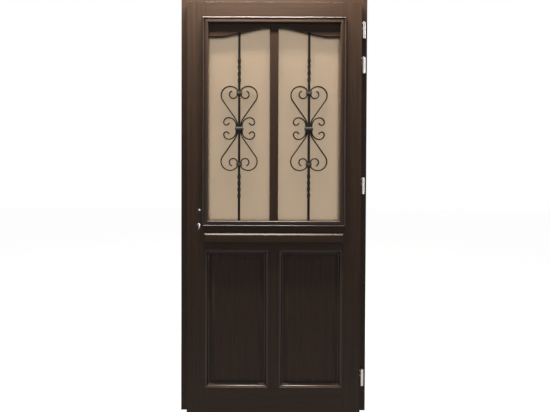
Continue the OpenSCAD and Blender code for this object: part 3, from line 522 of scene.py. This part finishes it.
floor = level_plane("floor", (-FLOOR_REACH, -FLOOR_REACH),
                    (FLOOR_REACH, FLOOR_REACH), 0.0)
pale, tree, shader = finish("pale_floor", FLOOR_TONE, FLOOR_ROUGHNESS)
glow = tree.nodes.new("ShaderNodeEmission")
level = tree.nodes.new("ShaderNodeMath")
level.operation = "MULTIPLY"
level.inputs[1].default_value = FLOOR_GLOW
both = tree.nodes.new("ShaderNodeAddShader")
tree.links.new(seen_mask(tree), level.inputs[0])
tree.links.new(level.outputs[0], glow.inputs["Strength"])
tree.links.new(shader.outputs[0], both.inputs[0])
tree.links.new(glow.outputs[0], both.inputs[1])
tree.links.new(both.outputs[0], tree.nodes["Material Output"].inputs["Surface"])
wear(floor, pale)
print("floor reaches", FLOOR_REACH, "m each way")

# %% [markdown]
# The world is the backdrop. It holds two white backgrounds, a weak one that lights the
# door and a full one that is only looked at, and the same mask picks between them.

# %% White backdrop
WORLD_ON_DOOR = 0.08

world = bpy.data.worlds.new("studio")
bpy.context.scene.world = world
world.use_nodes = True
sky = world.node_tree
sky.nodes.clear()
out = sky.nodes.new("ShaderNodeOutputWorld")
soft = sky.nodes.new("ShaderNodeBackground")
soft.inputs["Strength"].default_value = WORLD_ON_DOOR
white = sky.nodes.new("ShaderNodeBackground")
for side in (soft, white):
    side.inputs["Color"].default_value = (1.0, 1.0, 1.0, 1.0)
mix = sky.nodes.new("ShaderNodeMixShader")
sky.links.new(seen_mask(sky), mix.inputs[0])
sky.links.new(soft.outputs[0], mix.inputs[1])
sky.links.new(white.outputs[0], mix.inputs[2])
sky.links.new(mix.outputs[0], out.inputs["Surface"])
print("light of the world on the door:", WORLD_ON_DOOR)

# %% [markdown]
# The light on the real door comes from above, close to its face: it is brightest on the
# top rail, draws a bright line on every edge that looks upwards and fades towards the
# floor. A long narrow lamp above the head does that, warm as a bulb is, and a white one
# higher up reaches the ledge. A large soft lamp at the front keeps the lower half
# readable, two upright strips draw the mouldings at the sides, and two lamps stand in
# the room behind, far enough to the sides that the glass doesn't burn out. Places and
# aims are in metres, followed by the lamp's width, its depth and its power in watts.

# %% Lamps
def lamp(name, place, aim, width, depth, power, tint=(1.0, 1.0, 1.0)):
    """A soft oblong lamp at a place, turned towards a point."""
    data = bpy.data.lights.new(name, "AREA")
    data.shape = "RECTANGLE"
    data.size = width
    data.size_y = depth
    data.energy = power
    data.color = tint
    light = bpy.data.objects.new(name, data)
    light.location = place
    turned = (Vector(aim) - Vector(place)).to_track_quat("-Z", "Y")
    light.rotation_euler = turned.to_euler()
    bpy.context.scene.collection.objects.link(light)


WARM = (1.0, 0.87, 0.71)
COOL = (0.84, 0.96, 1.10)
lamp("key", (-1.1, -2.6, 3.7), (0.0, 0.0, 1.2), 1.6, 1.6, 8.0, COOL)
lamp("over_door", (-0.1, -0.25, 2.70), (-0.1, -0.18, 1.0), 1.1, 0.06, 132.0, WARM)
lamp("wall_washer", (-0.1, -0.16, 3.30), (-0.1, -0.14, 1.0), 1.2, 0.10, 210.0)
lamp("left_strip", (-1.15, -0.45, 1.50), (0.0, 0.0, 1.50), 0.06, 1.4, 4.0)
lamp("right_strip", (1.15, -0.45, 1.50), (0.0, 0.0, 1.50), 0.06, 1.4, 4.5)
lamp("room_right", (2.5, 1.7, 2.0), (0.0, 0.0, 1.2), 1.6, 1.6, 75.0)
lamp("room_left", (-2.5, 1.7, 2.0), (0.0, 0.0, 1.2), 1.6, 1.6, 55.0)
bpy.context.scene.view_settings.view_transform = "Standard"
print("lamps:", len(bpy.data.lights))

# %% [markdown]
# The two lamps above the head would bleach the top of the frame. A photographer holds a
# small board over it, and so do we: a plane just above the frame, from its front face
# backwards, stops their light there and isn't seen itself.

# %% A shade over the top of the frame
SHADE_UP = 12 * MM
SHADE_FORWARD = 1 * MM
SHADE_HALF_WIDTH = 0.6
SHADE_DEPTH = 0.25
head_front = min(v.co.y for v in dressed["frame_head"].data.vertices)
shade_front = head_front - SHADE_FORWARD
shade = level_plane("top_shade", (-SHADE_HALF_WIDTH, shade_front),
                    (SHADE_HALF_WIDTH, shade_front + SHADE_DEPTH),
                    cad_box[1].z + SHADE_UP)
wear(shade, rubber)
shade.visible_camera = False
shade.visible_diffuse = False
shade.visible_glossy = False
shade.visible_transmission = False
print("shade from y", round(shade_front, 4), "backwards")

# %% [markdown]
# The photograph was taken from a little over two metres away, at chest height and
# slightly left of the middle, with the camera tipped down by less than a degree. The
# lens is a short one, and a small shift puts the door where it stands in the picture.

# %% Camera
EYE = Vector((-0.095, -2.268, 1.2326))
PITCH_DOWN = 0.788
TURN_LEFT = 0.045
ROLL = 0.18
LENS = 28.92
SENSOR = 36.0
SHIFT = (0.0372, -0.0533)
lens_data = bpy.data.cameras.new("camera")
lens_data.lens = LENS
lens_data.sensor_width = SENSOR
lens_data.shift_x, lens_data.shift_y = SHIFT
camera = bpy.data.objects.new("camera", lens_data)
turn = Matrix.Rotation(math.radians(TURN_LEFT), 4, "Z")
tilt = Matrix.Rotation(math.radians(90.0 - PITCH_DOWN), 4, "X")
roll = Matrix.Rotation(math.radians(ROLL), 4, "Z")
camera.matrix_world = Matrix.Translation(EYE) @ turn @ tilt @ roll
bpy.context.scene.collection.objects.link(camera)
bpy.context.scene.camera = camera
print("camera", round(-EYE.y, 2), "m in front of the door")
